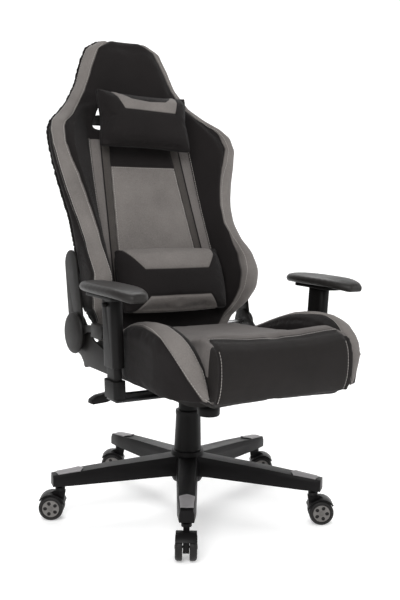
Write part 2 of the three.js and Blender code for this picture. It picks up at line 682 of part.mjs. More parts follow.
function headStrap() {
  const [x, front, rear] = [92, 316, 412];
  const thick = 2.4;
  const shape = outline([
    [-x, front], [-x + thick, front], [-x + thick, rear], [x - thick, rear], [x - thick, front],
    [x, front], [x, rear + thick], [-x, rear + thick],
  ]);
  return prism(shape, 24).translate(0, 0, 974);
}

function addBackrest() {
  add('back_frame', backFrame(), material(STEEL, 0.5, 0.8));
  const rodTunnel = rod(9, 600, 'x', [0, HINGE_Y, HINGE_Z], 12);
  add('back_cushion', cut(backCushion(), backFrame(GAP), rodTunnel, ...slotTools()),
    material(BLACK_FABRIC, 0.9));
  add('back_rear_cover', cut(rearCover(), ...slotTools(1)), material(BLACK_FABRIC, 0.9));
  const headPillow = pillow(143, 86, 86, 0.1).rotateY(radians(2.5));
  add('head_pillow', turnInsideOut(onBack(headPillow, 967, radians(17), 6)),
    material(BLACK_FABRIC, 0.9));
  add('head_strap', headStrap(), material(BLACK_FABRIC, 0.9));
  add('lumbar_pillow', turnInsideOut(onBack(pillow(160, 88, 92, 0), 553, radians(21.5), 8)),
    material(BLACK_FABRIC, 0.9));
}

// ---------------------------------------------------------------- assembly
add('star_base', starBase(), material(NYLON, 0.45));
addCasters();
addLift();
addMechanism();
addHeightLever();
addSeat();
for (const [name, side] of SIDES) addArmrest(name, side);
addRecliner();
addBackrest();

export default chair;
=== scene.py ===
import bpy
import bmesh
import math
import numpy as np
from mathutils import Matrix, Vector
from mathutils.bvhtree import BVHTree


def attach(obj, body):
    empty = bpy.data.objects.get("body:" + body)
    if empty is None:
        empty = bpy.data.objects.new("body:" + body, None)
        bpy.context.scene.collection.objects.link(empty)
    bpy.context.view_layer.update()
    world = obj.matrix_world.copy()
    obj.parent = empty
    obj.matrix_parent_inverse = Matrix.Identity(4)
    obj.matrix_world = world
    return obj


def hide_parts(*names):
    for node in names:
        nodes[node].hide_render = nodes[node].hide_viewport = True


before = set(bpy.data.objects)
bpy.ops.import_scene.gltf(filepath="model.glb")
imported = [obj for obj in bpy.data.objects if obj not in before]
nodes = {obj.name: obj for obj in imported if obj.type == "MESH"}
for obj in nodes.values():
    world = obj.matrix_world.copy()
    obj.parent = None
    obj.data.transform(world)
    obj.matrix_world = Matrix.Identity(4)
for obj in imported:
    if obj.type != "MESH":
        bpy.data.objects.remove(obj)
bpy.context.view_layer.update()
centre = Vector((0.009, -0.018, 0))  # the column's axis, from which the chair's own x and y are measured
scene = bpy.context.scene
print("frame loaded")


def newMaterial(name, roughness=0.5, metallic=0.0):
    material = bpy.data.materials.new(name)
    material.use_nodes = True
    shader = material.node_tree.nodes["Principled BSDF"]
    shader.inputs["Roughness"].default_value = roughness
    shader.inputs["Metallic"].default_value = metallic
    return material, material.node_tree.nodes, material.node_tree.links, shader


def mathNode(tree, operation, first, second=None):
    node = tree.nodes.new("ShaderNodeMath")
    node.operation = operation
    for socket, value in zip(node.inputs, (first, second)):
        if value is None:
            continue
        if isinstance(value, (int, float)):
            socket.default_value = value
        else:
            tree.links.new(value, socket)
    return node.outputs[0]


def mixColour(tree, factor, low, high, blend="MIX"):
    node = tree.nodes.new("ShaderNodeMix")
    node.data_type = "RGBA"
    node.blend_type = blend
    for index, value in ((0, factor), (6, low), (7, high)):
        if isinstance(value, (int, float)):
            node.inputs[index].default_value = value
        elif isinstance(value, tuple):
            node.inputs[index].default_value = (*value, 1)
        else:
            tree.links.new(value, node.inputs[index])
    return node.outputs[2]


def noiseNode(tree, coords, scale, detail=3.0, roughness=0.55):
    node = tree.nodes.new("ShaderNodeTexNoise")
    node.inputs["Scale"].default_value = scale
    node.inputs["Detail"].default_value = detail
    node.inputs["Roughness"].default_value = roughness
    tree.links.new(coords, node.inputs["Vector"])
    return node.outputs["Fac"]


def bumpNode(tree, height, distance, strength=1.0, normal=None):
    node = tree.nodes.new("ShaderNodeBump")
    node.inputs["Distance"].default_value = distance
    node.inputs["Strength"].default_value = strength
    tree.links.new(height, node.inputs["Height"])
    if normal is not None:
        tree.links.new(normal, node.inputs["Normal"])
    return node.outputs["Normal"]


def mappedRange(tree, value, low, high, outLow, outHigh):
    node = tree.nodes.new("ShaderNodeMapRange")
    for index, number in zip((1, 2, 3, 4), (low, high, outLow, outHigh)):
        node.inputs[index].default_value = number
    tree.links.new(value, node.inputs[0])
    return node.outputs[0]


weave = {"pitch": 0.0022, "depth": 0.00035, "sheen": 0.05}
colours = {
    "black": (0.0105, 0.0088, 0.0088),
    "grey": (0.172, 0.158, 0.149),
    "darkGrey": (0.060, 0.054, 0.050),
    # the side strips' grey is the panel grey darkened: painted shade from the wings
    "wingShadedGrey": (0.142, 0.13, 0.124),
    "seatGrey": (0.132, 0.121, 0.116),
    # the seat's black is the black cloth made paler: painted light on the lit seat front
    "litSeatBlack": (0.0155, 0.0136, 0.013),
    "stitch": (0.36, 0.34, 0.325),
}


# Woven cloth. Each zone is (attribute, colour): the colour shows where the attribute is above zero.
def wovenCloth(name, base, zones=(), seamLineAndShade=True):
    material, treeNodes, links, shader = newMaterial(name, 0.85)
    tree = material.node_tree
    coords = treeNodes.new("ShaderNodeTexCoord").outputs["Object"]
    colour = None
    for attribute, tint in zones:
        reader = treeNodes.new("ShaderNodeAttribute")
        reader.attribute_name = attribute
        edge = mappedRange(tree, reader.outputs["Fac"], -0.0004, 0.0004, 0, 1)
        colour = mixColour(tree, edge, colour if colour else colours[base], colours[tint])
    if colour is None:
        colour = mixColour(tree, 0.0, colours[base], colours[base])
    split = treeNodes.new("ShaderNodeSeparateXYZ")
    links.new(coords, split.inputs[0])
    rate = 2 * math.pi / weave["pitch"]
    across = mathNode(tree, "SINE", mathNode(tree, "MULTIPLY", split.outputs[0], rate))
    slanted = mathNode(tree, "ADD", split.outputs[2], mathNode(tree, "MULTIPLY", split.outputs[1], 0.8))
    along = mathNode(tree, "SINE", mathNode(tree, "MULTIPLY", slanted, rate))
    threads = mathNode(tree, "MULTIPLY", across, along)
    fibre = noiseNode(tree, coords, 1400, 2)
    patches = noiseNode(tree, coords, 9, 4)
    heather = noiseNode(tree, coords, 420, 4, 0.7)
    shade = mathNode(tree, "ADD", mappedRange(tree, patches, 0.3, 0.7, 0.86, 1.12),
                     mappedRange(tree, heather, 0.3, 0.7, -0.2, 0.2))
    shade = mathNode(tree, "ADD", shade, mathNode(tree, "MULTIPLY", threads, 0.1))
    colour = mixColour(tree, 1.0, colour, shade, "MULTIPLY")
    # near a seam the colour goes towards black: partly the dark seam line, partly painted shade in the sewn
    # groove
    if seamLineAndShade:
        reader = treeNodes.new("ShaderNodeAttribute")
        reader.attribute_name = "seam"
        colour = mixColour(tree, mappedRange(tree, reader.outputs["Fac"], 0.0006, 0.0026, 0.72, 0),
                           colour, colours["black"])
    links.new(colour, shader.inputs["Base Color"])
    links.new(mappedRange(tree, heather, 0.2, 0.8, 0.72, 0.95), shader.inputs["Roughness"])
    height = mathNode(tree, "ADD", threads, mathNode(tree, "MULTIPLY", fibre, 1.2))
    normal = bumpNode(tree, patches, 0.012, 0.35)
    links.new(bumpNode(tree, height, weave["depth"], 0.6, normal), shader.inputs["Normal"])
    shader.inputs["Sheen Weight"].default_value = weave["sheen"]
    shader.inputs["Sheen Roughness"].default_value = 0.4
    shader.inputs["Specular IOR Level"].default_value = 0.15
    return material


# Moulded or painted surfaces: fine grain, slight tone changes and paler convex edges, a painted highlight.
def mouldedFinish(name, colour, roughness, grain=1600, depth=0.00012, metallic=0.0, edgeHighlight=0.25, gloss=0.12):
    material, treeNodes, links, shader = newMaterial(name, roughness, metallic)
    tree = material.node_tree
    coords = treeNodes.new("ShaderNodeTexCoord").outputs["Object"]
    fine = noiseNode(tree, coords, grain, 2)
    broad = noiseNode(tree, coords, 14, 4)
    toned = mixColour(tree, mappedRange(tree, broad, 0.3, 0.7, 0, 1),
                      tuple(0.85 * c for c in colour), tuple(1.12 * c for c in colour))
    # painted highlight: convex edges, found by pointiness, are mixed towards a paler colour
    geometry = treeNodes.new("ShaderNodeNewGeometry")
    edges = mappedRange(tree, geometry.outputs["Pointiness"], 0.53, 0.62, 0, edgeHighlight)
    toned = mixColour(tree, edges, toned, tuple(min(1, 1.8 * c + 0.03) for c in colour))
    links.new(toned, shader.inputs["Base Color"])
    links.new(mappedRange(tree, broad, 0.25, 0.75, roughness - 0.07, roughness + 0.08),
              shader.inputs["Roughness"])
    links.new(bumpNode(tree, fine, depth, 0.5), shader.inputs["Normal"])
    shader.inputs["Specular IOR Level"].default_value = gloss
    return material


clothBlack = wovenCloth("blackCloth", "black")
clothBack = wovenCloth("backCloth", "black", [
    ("wingShadedStrip", "wingShadedGrey"), ("darkStripe", "darkGrey"), ("panel", "grey"), ("edgeStrip", "grey")])
# the seat cloth's black is paler than the black cloth: painted light
clothSeat = wovenCloth("seatCloth", "litSeatBlack", [("seatTop", "seatGrey")])
clothBolster = wovenCloth("bolsterCloth", "black", [("ridge", "grey")])
clothPillow = wovenCloth("pillowCloth", "black", [("greyBand", "grey")])
webbing = wovenCloth("strapWebbing", "black", seamLineAndShade=False)
thread = mouldedFinish("stitchThread", colours["stitch"], 0.75, 3000, 0.0001, edgeHighlight=0)
pipingVinyl = mouldedFinish("pipingVinyl", (0.012, 0.0115, 0.0115), 0.45, 900, 0.0001, edgeHighlight=0)
nylon = mouldedFinish("blackNylon", (0.0052, 0.0047, 0.0050), 0.42, 1500, 0.00016)
trimGrey = mouldedFinish("greyTrim", (0.235, 0.225, 0.23), 0.4, 1500, 0.0001)
coverPlastic = mouldedFinish("coverPlastic", (0.0045, 0.0041, 0.0041), 0.42, 1200, 0.0001)
sidePlastic = mouldedFinish("sidePlatePlastic", (0.0085, 0.0077, 0.0072), 0.48, 1100, 0.00014, gloss=0.2)
padSkin = mouldedFinish("armPadSkin", (0.016, 0.0145, 0.0137), 0.46, 700, 0.0002, gloss=0.26)
treadBlack = mouldedFinish("wheelTread", (0.02, 0.019, 0.019), 0.45, 900, 0.0001)
hubGrey = mouldedFinish("wheelHub", (0.13, 0.123, 0.118), 0.45, 1200, 0.0001)
blackSteel = mouldedFinish("powderCoatedSteel", (0.03, 0.03, 0.031), 0.38, 1800, 0.00012, metallic=0.6)
brightSteel = mouldedFinish("brightSteel", (0.55, 0.55, 0.56), 0.28, 800, 0.00005, metallic=1.0)
boardWood = mouldedFinish("stainedBoard", (0.016, 0.0145, 0.014), 0.7, 160, 0.0003)
print("materials made")


def putIn(name, mesh, material):
    obj = bpy.data.objects.new(name, mesh)
    scene.collection.objects.link(obj)
    mesh.materials.clear()
    mesh.materials.append(material)
    return obj


def coordsOf(mesh):
    co = np.empty(len(mesh.vertices) * 3)
    mesh.vertices.foreach_get("co", co)
    return co.reshape(-1, 3)


def setCoords(mesh, co):
    mesh.vertices.foreach_set("co", np.asarray(co, float).ravel())
    mesh.update()


def normalsOf(mesh):
    no = np.empty(len(mesh.vertices) * 3)
    mesh.vertex_normals.foreach_get("vector", no)
    return no.reshape(-1, 3)


def flatten(obj):
    depsgraph = bpy.context.evaluated_depsgraph_get()
    mesh = bpy.data.meshes.new_from_object(obj.evaluated_get(depsgraph))
    old = obj.data
    obj.modifiers.clear()
    obj.data = mesh
    bpy.data.meshes.remove(old)
    return obj


def mergedCopy(node, name, material):
    mesh = nodes[node].data.copy()
    mesh.name = name
    work = bmesh.new()
    work.from_mesh(mesh)
    bmesh.ops.remove_doubles(work, verts=work.verts, dist=1e-5)
    bmesh.ops.recalc_face_normals(work, faces=work.faces)
    work.to_mesh(mesh)
    work.free()
    return putIn(name, mesh, material)


def smoothShading(obj, angle=None):
    mesh = obj.data
    if angle is None:
        mesh.shade_smooth()
        return obj
    mesh.set_sharp_from_angle(angle=math.radians(angle))
    mesh.polygons.foreach_set("use_smooth", [True] * len(mesh.polygons))
    return obj


def setAttribute(mesh, name, values):
    attribute = mesh.attributes.get(name) or mesh.attributes.new(name, "FLOAT", "POINT")
    attribute.data.foreach_set("value", np.asarray(values, np.float32))


# A hard CAD piece with its flat facets merged, its edges rounded and its curved faces smooth.
def rounded(node, body, material, bevel=0.0012, segments=2, angle=40):
    obj = mergedCopy(node, node + ".shell", material)
    dissolve = obj.modifiers.new("planar", "DECIMATE")
    dissolve.decimate_type = "DISSOLVE"
    dissolve.angle_limit = math.radians(1.5)
    edges = obj.modifiers.new("bevel", "BEVEL")
    edges.width = bevel
    edges.segments = segments
    edges.limit_method = "ANGLE"
    edges.angle_limit = math.radians(angle)
    edges.use_clamp_overlap = True
    edges.harden_normals = False
    flatten(obj)
    smoothShading(obj, 38)
    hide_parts(node)
    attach(obj, body)
    return obj


# A turned piece: the profile (radius, height) swept about the z axis.
def spun(name, profile, material, segments=48):
    mesh = bpy.data.meshes.new(name)
    work = bmesh.new()
    rings = []
    for step in range(segments):
        angle = 2 * math.pi * step / segments
        rings.append([work.verts.new((r * math.cos(angle), r * math.sin(angle), z)) for r, z in profile])
    for step in range(segments):
        here, there = rings[step], rings[(step + 1) % segments]
        for k in range(len(profile) - 1):
            work.faces.new((here[k], there[k], there[k + 1], here[k + 1]))
    bmesh.ops.remove_doubles(work, verts=work.verts, dist=1e-6)
    bmesh.ops.recalc_face_normals(work, faces=work.faces)
    work.to_mesh(mesh)
    work.free()
    return putIn(name, mesh, material)


def placed(obj, matrix):
    obj.data.transform(matrix)
    obj.data.update()
    return obj


softening = {"frames": 20, "dent": 0.002, "settle": 7}


# Each pass smooths inwards and then outwards again, so the piece keeps its size.
def relaxed(obj, passes):
    for _ in range(passes):
        for factor in (0.5, -0.52):
            smoother = obj.modifiers.new("relax", "SMOOTH")
            smoother.iterations = 1
            smoother.factor = factor
    return flatten(obj)


def inflated(obj, pressure, cap):
    before = coordsOf(obj.data)
    cloth = obj.modifiers.new("stuffing", "CLOTH")
    settings = cloth.settings
    settings.use_pressure = True
    settings.uniform_pressure_force = pressure
    settings.effector_weights.gravity = 0
    settings.tension_stiffness = 12
    settings.compression_stiffness = 12
    settings.bending_stiffness = 1.5
    settings.quality = 4
    cloth.collision_settings.use_collision = False
    cloth.point_cache.frame_start = 1
    cloth.point_cache.frame_end = softening["frames"]
    for step in range(1, softening["frames"] + 1):
        scene.frame_set(step)
    depsgraph = bpy.context.evaluated_depsgraph_get()
    puffed = coordsOf(obj.evaluated_get(depsgraph).to_mesh())
    obj.evaluated_get(depsgraph).to_mesh_clear()
    obj.modifiers.clear()
    scene.frame_set(1)
    moved = puffed - before
    length = np.linalg.norm(moved, axis=1, keepdims=True)
    moved *= np.minimum(1, cap / np.maximum(length, 1e-9))
    # the solver draws corners in to keep its area, so inward motion is held to a shallow dent
    normals = normalsOf(obj.data)
    outward = np.sum(moved * normals, axis=1, keepdims=True)
    moved += normals * (np.maximum(outward, -softening["dent"]) - outward)
    setCoords(obj.data, before + moved)
    return obj


# A stuffed piece made from its CAD solid: an even skin, drawn in, then blown up by the cloth solver.
def stuffed(node, name, material, voxel, drawIn, pressure, cap, passes=10, refine=True):
    obj = mergedCopy(node, name, material)
    skin = obj.modifiers.new("skin", "REMESH")
    skin.mode = "VOXEL"
    skin.voxel_size = voxel
    flatten(obj)
    relaxed(obj, passes)
    setCoords(obj.data, coordsOf(obj.data) - normalsOf(obj.data) * drawIn)
    inflated(obj, pressure, cap)
    relaxed(obj, softening["settle"])
    if refine:
        finer = obj.modifiers.new("finer", "SUBSURF")
        finer.levels = finer.render_levels = 1
        flatten(obj)
    obj.data.materials.clear()
    obj.data.materials.append(material)
    smoothShading(obj)
    print(name, len(obj.data.vertices), "points")
    return obj


# Presses a sewn groove into the skin wherever the distance to a seam is small.
def sewn(obj, distance, depth, width):
    mesh = obj.data
    groove = np.exp(-(distance / width) ** 2)
    setCoords(mesh, coordsOf(mesh) + normalsOf(mesh) * (-depth * groove)[:, None])
    setAttribute(mesh, "seam", distance)
    return obj


def skinTree(obj):
    mesh = obj.data
    return BVHTree.FromPolygons([v.co for v in mesh.vertices], [p.vertices[:] for p in mesh.polygons])


# The nearest points of the skin to a line, a little above it.
def laidOn(tree, points, lift=0.0006):
    laid = []
    for point in points:
        spot, normal = tree.find_nearest(Vector(point))[:2]
        laid.append(spot + normal * lift)
    return laid


# The points where a line thrown in one direction meets the skin.
def castOn(tree, points, direction, lift=0.0006):
    laid = []
    way = Vector(direction).normalized()
    for point in points:
        spot, normal = tree.ray_cast(Vector(point) - way * 0.5, way)[:2]
        if spot is not None:
            laid.append(spot + normal * lift)
    return laid


def smoothLine(points, count):
    rough = np.array([tuple(p) for p in points], float)
    steps = np.r_[0, np.cumsum(np.linalg.norm(np.diff(rough, axis=0), axis=1))]
    wanted = np.linspace(0, steps[-1], count)
    line = np.stack([np.interp(wanted, steps, rough[:, k]) for k in range(3)], axis=1)
    for _ in range(3):
        line[1:-1] = 0.25 * line[:-2] + 0.5 * line[1:-1] + 0.25 * line[2:]
    return line


# Geometry Nodes tree that lays small rounded stitches along curves.
def stitchTree(material):
    tree = bpy.data.node_groups.new("stitchRun", "GeometryNodeTree")
    face = tree.interface
    face.new_socket("Geometry", in_out="INPUT", socket_type="NodeSocketGeometry")
    for label, value in (("Pitch", 0.0065), ("Length", 0.0048), ("Thickness", 0.00075)):
        socket = face.new_socket(label, in_out="INPUT", socket_type="NodeSocketFloat")
        socket.default_value = value
    face.new_socket("Geometry", in_out="OUTPUT", socket_type="NodeSocketGeometry")
    make = tree.nodes.new
    start, end = make("NodeGroupInput"), make("NodeGroupOutput")
    resample = make("GeometryNodeResampleCurve")
    resample.mode = "LENGTH"
    tube = make("GeometryNodeMeshCylinder")
    tube.inputs["Vertices"].default_value = 6
    toPoints = make("GeometryNodeInstanceOnPoints")
    tangent = make("GeometryNodeInputTangent")
    turn = make("FunctionNodeAlignRotationToVector")
    turn.axis = "Z"
    realize = make("GeometryNodeRealizeInstances")
    paint = make("GeometryNodeSetMaterial")
    paint.inputs["Material"].default_value = material
    link = tree.links.new
    link(start.outputs["Geometry"], resample.inputs["Curve"])
    link(start.outputs["Pitch"], resample.inputs["Length"])
    link(start.outputs["Thickness"], tube.inputs["Radius"])
    link(start.outputs["Length"], tube.inputs["Depth"])
    link(resample.outputs["Curve"], toPoints.inputs["Points"])
    link(tube.outputs["Mesh"], toPoints.inputs["Instance"])
    link(tangent.outputs["Tangent"], turn.inputs["Vector"])
    link(turn.outputs["Rotation"], toPoints.inputs["Rotation"])
    link(toPoints.outputs["Instances"], realize.inputs["Geometry"])
    link(realize.outputs["Geometry"], paint.inputs["Geometry"])
    link(paint.outputs["Geometry"], end.inputs["Geometry"])
    return tree


stitching = stitchTree(thread)


def curveFrom(name, lines, radius=0.0, material=None):
    curve = bpy.data.curves.new(name, "CURVE")
    curve.dimensions = "3D"
    for line in lines:
        spline = curve.splines.new("POLY")
        spline.points.add(len(line) - 1)
        for point, place in zip(spline.points, line):
            point.co = (*place, 1)
    if radius:
        curve.bevel_depth = radius
        curve.bevel_resolution = 2
        curve.use_fill_caps = True
    obj = bpy.data.objects.new(name, curve)
    scene.collection.objects.link(obj)
    if material:
        curve.materials.append(material)
    return obj


def asMesh(obj, name):
    depsgraph = bpy.context.evaluated_depsgraph_get()
    mesh = bpy.data.meshes.new_from_object(obj.evaluated_get(depsgraph))
    result = bpy.data.objects.new(name, mesh)
    scene.collection.objects.link(result)
    bpy.data.objects.remove(obj)
    return result


def stitched(name, lines, body, thickness=0.00065):
    path = curveFrom(name + "Path", lines)
    run = path.modifiers.new("stitches", "NODES")
    run.node_group = stitching
    sockets = {item.name: item.identifier for item in stitching.interface.items_tree
               if item.in_out == "INPUT"}
    run[sockets["Thickness"]] = thickness
    obj = asMesh(path, name)
    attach(obj, body)
    return obj


def piped(name, lines, body, radius=0.0018, material=pipingVinyl):
    obj = asMesh(curveFrom(name + "Path", lines, radius, material), name)
    smoothShading(obj)
    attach(obj, body)
    return obj


def finishPadded(obj, node, body):
    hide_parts(node)
    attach(obj, body)
    return obj


def table(rows, column):
    heights = [row[0] for row in rows]
    values = [row[column] for row in rows]
    return lambda at: np.interp(at, heights, values)


backSeams = {
    # height, inner seam x, inner seam y, outer seam x, outer seam y, in chair measures
    "wing": [
        (0.424, 0.150, 0.104, 0.176, 0.110), (0.470, 0.168, 0.096, 0.198, 0.102),
        (0.510, 0.186, 0.066, 0.224, 0.072), (0.550, 0.193, 0.044, 0.236, 0.050),
        (0.600, 0.197, 0.038, 0.237, 0.041), (0.640, 0.200, 0.058, 0.233, 0.080),
        (0.680, 0.198, 0.104, 0.228, 0.122), (0.720, 0.197, 0.145, 0.228, 0.156),
        (0.760, 0.201, 0.170, 0.234, 0.181), (0.800, 0.209, 0.187, 0.244, 0.197),
        (0.840, 0.219, 0.199, 0.254, 0.206), (0.880, 0.233, 0.202, 0.265, 0.213),
        (0.920, 0.244, 0.206, 0.269, 0.227), (0.960, 0.237, 0.232, 0.259, 0.257),
        (0.980, 0.222, 0.258, 0.243, 0.288), (1.000, 0.193, 0.290, 0.213, 0.318),
        (1.030, 0.164, 0.322, 0.181, 0.345), (1.060, 0.145, 0.338, 0.161, 0.362),
        (1.090, 0.130, 0.350, 0.146, 0.374), (1.130, 0.112, 0.358, 0.127, 0.382),
        (1.170, 0.090, 0.368, 0.104, 0.390), (1.192, 0.050, 0.378, 0.062, 0.398)],
    # height, grey panel's half width, dark stripe's outer edge, outer edge of the strip painted with the
    # wing's shade
    "middle": [(0.40, 0.131, 0.150, 0.170), (0.66, 0.114, 0.133, 0.156), (0.75, 0.106, 0.126, 0.153),
               (0.85, 0.097, 0.119, 0.150), (0.95, 0.088, 0.112, 0.146)],
    "innerShift": -0.007,
    "outerShift": 0.009,
    "panelTop": 0.862,
    "stripTop": 0.93,
    "bottom": 0.56,
    "rimOffset": 0.006,
    "rearHeights": (0.45, 0.6, 0.95, 1.03, 1.15),
    "rearHalf": (0.10, 0.12, 0.13, 0.1, 0.06),
    "crownStart": 1.08,
    "crownLift": 0.013,
    "rearSwell": 0.0028,
}


# Raises the head end a little, because the solver draws its rounded top down.
def crowned(obj):
    co = coordsOf(obj.data)
    rise = np.clip((co[:, 2] - backSeams["crownStart"]) / 0.11, 0, 1.2)
    co[:, 2] += backSeams["crownLift"] * rise
    setCoords(obj.data, co)
    return obj


def buildBack():
    back = stuffed("back_cushion", "backCushion", clothBack, 0.0075, 0.001, 4.0, 0.009, passes=5)
    mesh = back.data
    co = coordsOf(mesh) - np.array(centre)
    x, y, z = np.abs(co[:, 0]), co[:, 1], co[:, 2]
    wing, middle = backSeams["wing"], backSeams["middle"]
    inX, outX, outY = (table(wing, k)(z) for k in (1, 3, 4))
    inX = inX + backSeams["innerShift"]
    toInner = x - inX
    toOuter = (x - outX) * 0.75 + (y - outY) * 0.66 - backSeams["rimOffset"] - backSeams["outerShift"]
    edge = np.minimum(toInner, -toOuter)
    front = normalsOf(mesh)[:, 1] < 0.35
    setAttribute(mesh, "edgeStrip", np.where(front | (toInner > -0.01), edge, -0.02))
    panelHalf, stripeOut, stripOut = (table(middle, k)(z) for k in (1, 2, 3))
    facing = np.where(normalsOf(mesh)[:, 1] < 0.2, 0.0, -0.02)
    bottomGap = z - backSeams["bottom"]
    topGap = np.minimum(backSeams["panelTop"] - z, bottomGap)
    setAttribute(mesh, "panel", np.minimum(panelHalf - x, topGap) + facing)
    stripGap = np.minimum(backSeams["stripTop"] - z, bottomGap)
    setAttribute(mesh, "darkStripe",
                 np.minimum(np.minimum(x - panelHalf, stripeOut - x), stripGap) + facing)
    # the strip between the dark stripe and the wing, coloured with painted wing shade
    setAttribute(mesh, "wingShadedStrip",
                 np.minimum(np.minimum(x - stripeOut - 0.004, stripOut - x), stripGap) + facing)
    middleSeams = np.minimum.reduce([
        np.abs(x - panelHalf), np.abs(x - stripeOut - 0.002), np.abs(x - stripOut)])
    middleSeams = np.where(stripGap > 0, middleSeams, 0.05)
    panelSeam = np.where(x < panelHalf, np.abs(z - backSeams["panelTop"]), 0.05)
    wingSeams = np.minimum(np.abs(toInner) + np.maximum(0, toOuter - 0.02), np.abs(toOuter))
    wingSeams = np.where(x > inX - 0.03, wingSeams, 0.05)
    onFront = np.where(facing < 0, 0.05, 0.0)
    distance = np.minimum.reduce([middleSeams + onFront, panelSeam + onFront, wingSeams])
    sewn(back, distance, 0.0035, 0.0045)
    finishPadded(back, "back_cushion", "back")

    tree = skinTree(back)
    lines, cords = [], []
    heights = np.arange(0.47, 1.186, 0.012)
    for side in (-1, 1):
        for seamX, seamY, shift in ((1, 2, backSeams["innerShift"] + 0.004),
                                    (3, 4, 0.75 * backSeams["outerShift"])):
            points = [Vector((side * (table(wing, seamX)(h) + shift),
                              table(wing, seamY)(h) + shift / 2, h)) + centre for h in heights]
            lines.append(smoothLine(laidOn(tree, points), 260))
        push = backSeams["outerShift"] + backSeams["rimOffset"]
        points = [Vector((side * (table(wing, 3)(h) + 0.75 * push),
                          table(wing, 4)(h) + 0.66 * push, h)) + centre for h in heights]
        cords.append(smoothLine(laidOn(tree, points, 0.0002), 90))
        for column, shift in ((1, -0.004), (3, 0.003)):
            points = [Vector((side * (table(middle, column)(h) + shift), 0, h)) + centre
                      for h in np.arange(0.60, 0.94 if column == 3 else 0.86, 0.01)]
            lines.append(smoothLine(castOn(tree, points, (0, 1, 0)), 90))
    top = backSeams["panelTop"] - 0.004
    reach = table(middle, 1)(top) - 0.004
    lines.append(smoothLine(castOn(tree, [Vector((u, 0, top)) + centre
                                          for u in np.linspace(-reach, reach, 24)], (0, 1, 0)), 60))
    sewing = stitched("backStitching", lines, "back")
    piping = piped("backPiping", cords, "back", 0.0016)
    for piece in (back, sewing, piping):
        crowned(piece)

    rear = mergedCopy("back_rear_cover", "backRearCover", clothBlack)
    skin = rear.modifiers.new("skin", "REMESH")
    skin.mode = "VOXEL"
    skin.voxel_size = 0.0055
    flatten(rear)
    relaxed(rear, 8)
    # swollen a little so that it meets the cushion's rim
    setCoords(rear.data, coordsOf(rear.data) + normalsOf(rear.data) * backSeams["rearSwell"])
    rear.data.materials.clear()
    rear.data.materials.append(clothBlack)
    smoothShading(rear)
    co = coordsOf(rear.data) - np.array(centre)
    half = np.interp(co[:, 2], backSeams["rearHeights"], backSeams["rearHalf"])
    rearSeam = np.where(normalsOf(rear.data)[:, 1] > 0, np.abs(np.abs(co[:, 0]) - half), 0.05)
    sewn(rear, rearSeam, 0.003, 0.004)
    finishPadded(rear, "back_rear_cover", "back")
    rearTree = skinTree(rear)
    rearLines = []
    for side in (-1, 1):
        for shift in (-0.005, 0.005):
            points = []
            for h in np.arange(0.46, 1.15, 0.012):
                offset = np.interp(h, backSeams["rearHeights"], backSeams["rearHalf"])
                points.append(Vector((side * (offset + shift), 0.6, h)) + centre)
            rearLines.append(smoothLine(castOn(rearTree, points, (0, -1, 0)), 200))
    crowned(rear)
    crowned(stitched("rearStitching", rearLines, "back"))
    print("backrest done")


pillows = {
    "head": {"node": "head_pillow", "voxel": 0.005, "cap": 0.012, "tilt": 2.5, "bandLevel": 0.972,
             "middle": 0.968, "waist": 0.13, "halfWidth": 0.14},
    "lumbar": {"node": "lumbar_pillow", "voxel": 0.005, "cap": 0.012},
}


def buildPillows():
    head = stuffed(pillows["head"]["node"], "headPillow", clothPillow, pillows["head"]["voxel"], 0.002,
                   4.0, pillows["head"]["cap"], passes=6)
    # the pillow is narrower in height at its middle than at its corners
    co = coordsOf(head.data) - np.array(centre)
    shape = pillows["head"]
    waist = shape["waist"] * np.clip(1 - (co[:, 0] / shape["halfWidth"]) ** 2, 0, 1)
    co[:, 2] -= (co[:, 2] - shape["middle"]) * waist
    setCoords(head.data, co + np.array(centre))
    tilt = math.radians(shape["tilt"])
    above = co[:, 2] - shape["bandLevel"]
    u = co[:, 0] * math.cos(tilt) - above * math.sin(tilt)
    w = co[:, 0] * math.sin(tilt) + above * math.cos(tilt)
    ahead = normalsOf(head.data)[:, 1] < 0.1
    # the grey band's lower edge is level in the middle and climbs to the corners
    low = np.interp(np.abs(u), [0, 0.074, 0.097, 0.15], [0.036, 0.036, 0.084, 0.19])
    notch = np.interp(np.abs(u), [0, 0.05, 0.098, 0.15], [0.060, 0.064, 0.088, 0.10])
    band = np.where(ahead, np.minimum(w - low, notch - w), -0.02)
    setAttribute(head.data, "greyBand", band)
    edge = np.abs(normalsOf(head.data)[:, 1]) * 0.05
    bandSeam = np.where(ahead, np.abs(w - low), 0.05)
    sewn(head, np.minimum(edge + 0.001, bandSeam), 0.002, 0.004)
    finishPadded(head, "head_pillow", "back")

    lumbar = stuffed(pillows["lumbar"]["node"], "lumbarPillow", clothPillow, pillows["lumbar"]["voxel"],
                     0.002, 4.0, pillows["lumbar"]["cap"], passes=6)
    co = coordsOf(lumbar.data) - np.array(centre)
    x, z = np.abs(co[:, 0]), co[:, 2]
    ahead = normalsOf(lumbar.data)[:, 1] < 0.3
    upper = np.interp(x, [0, 0.093, 0.134, 0.18], [0.606, 0.606, 0.652, 0.70])
    lower = np.interp(x, [0, 0.088, 0.132, 0.18], [0.541, 0.541, 0.487, 0.43])
    band = np.maximum(z - upper, lower - z)
    setAttribute(lumbar.data, "greyBand", np.where(ahead, band, -0.02))
    edge = np.abs(normalsOf(lumbar.data)[:, 1]) * 0.05
    sewn(lumbar, np.minimum(edge + 0.001, np.where(ahead, np.abs(band), 0.05)), 0.002, 0.004)
    finishPadded(lumbar, "lumbar_pillow", "back")

    strap = mergedCopy("head_strap", "headStrap", webbing)
    strap.data.materials.clear()
    strap.data.materials.append(webbing)
    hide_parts("head_strap")
    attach(strap, "back")
    print("pillows done")


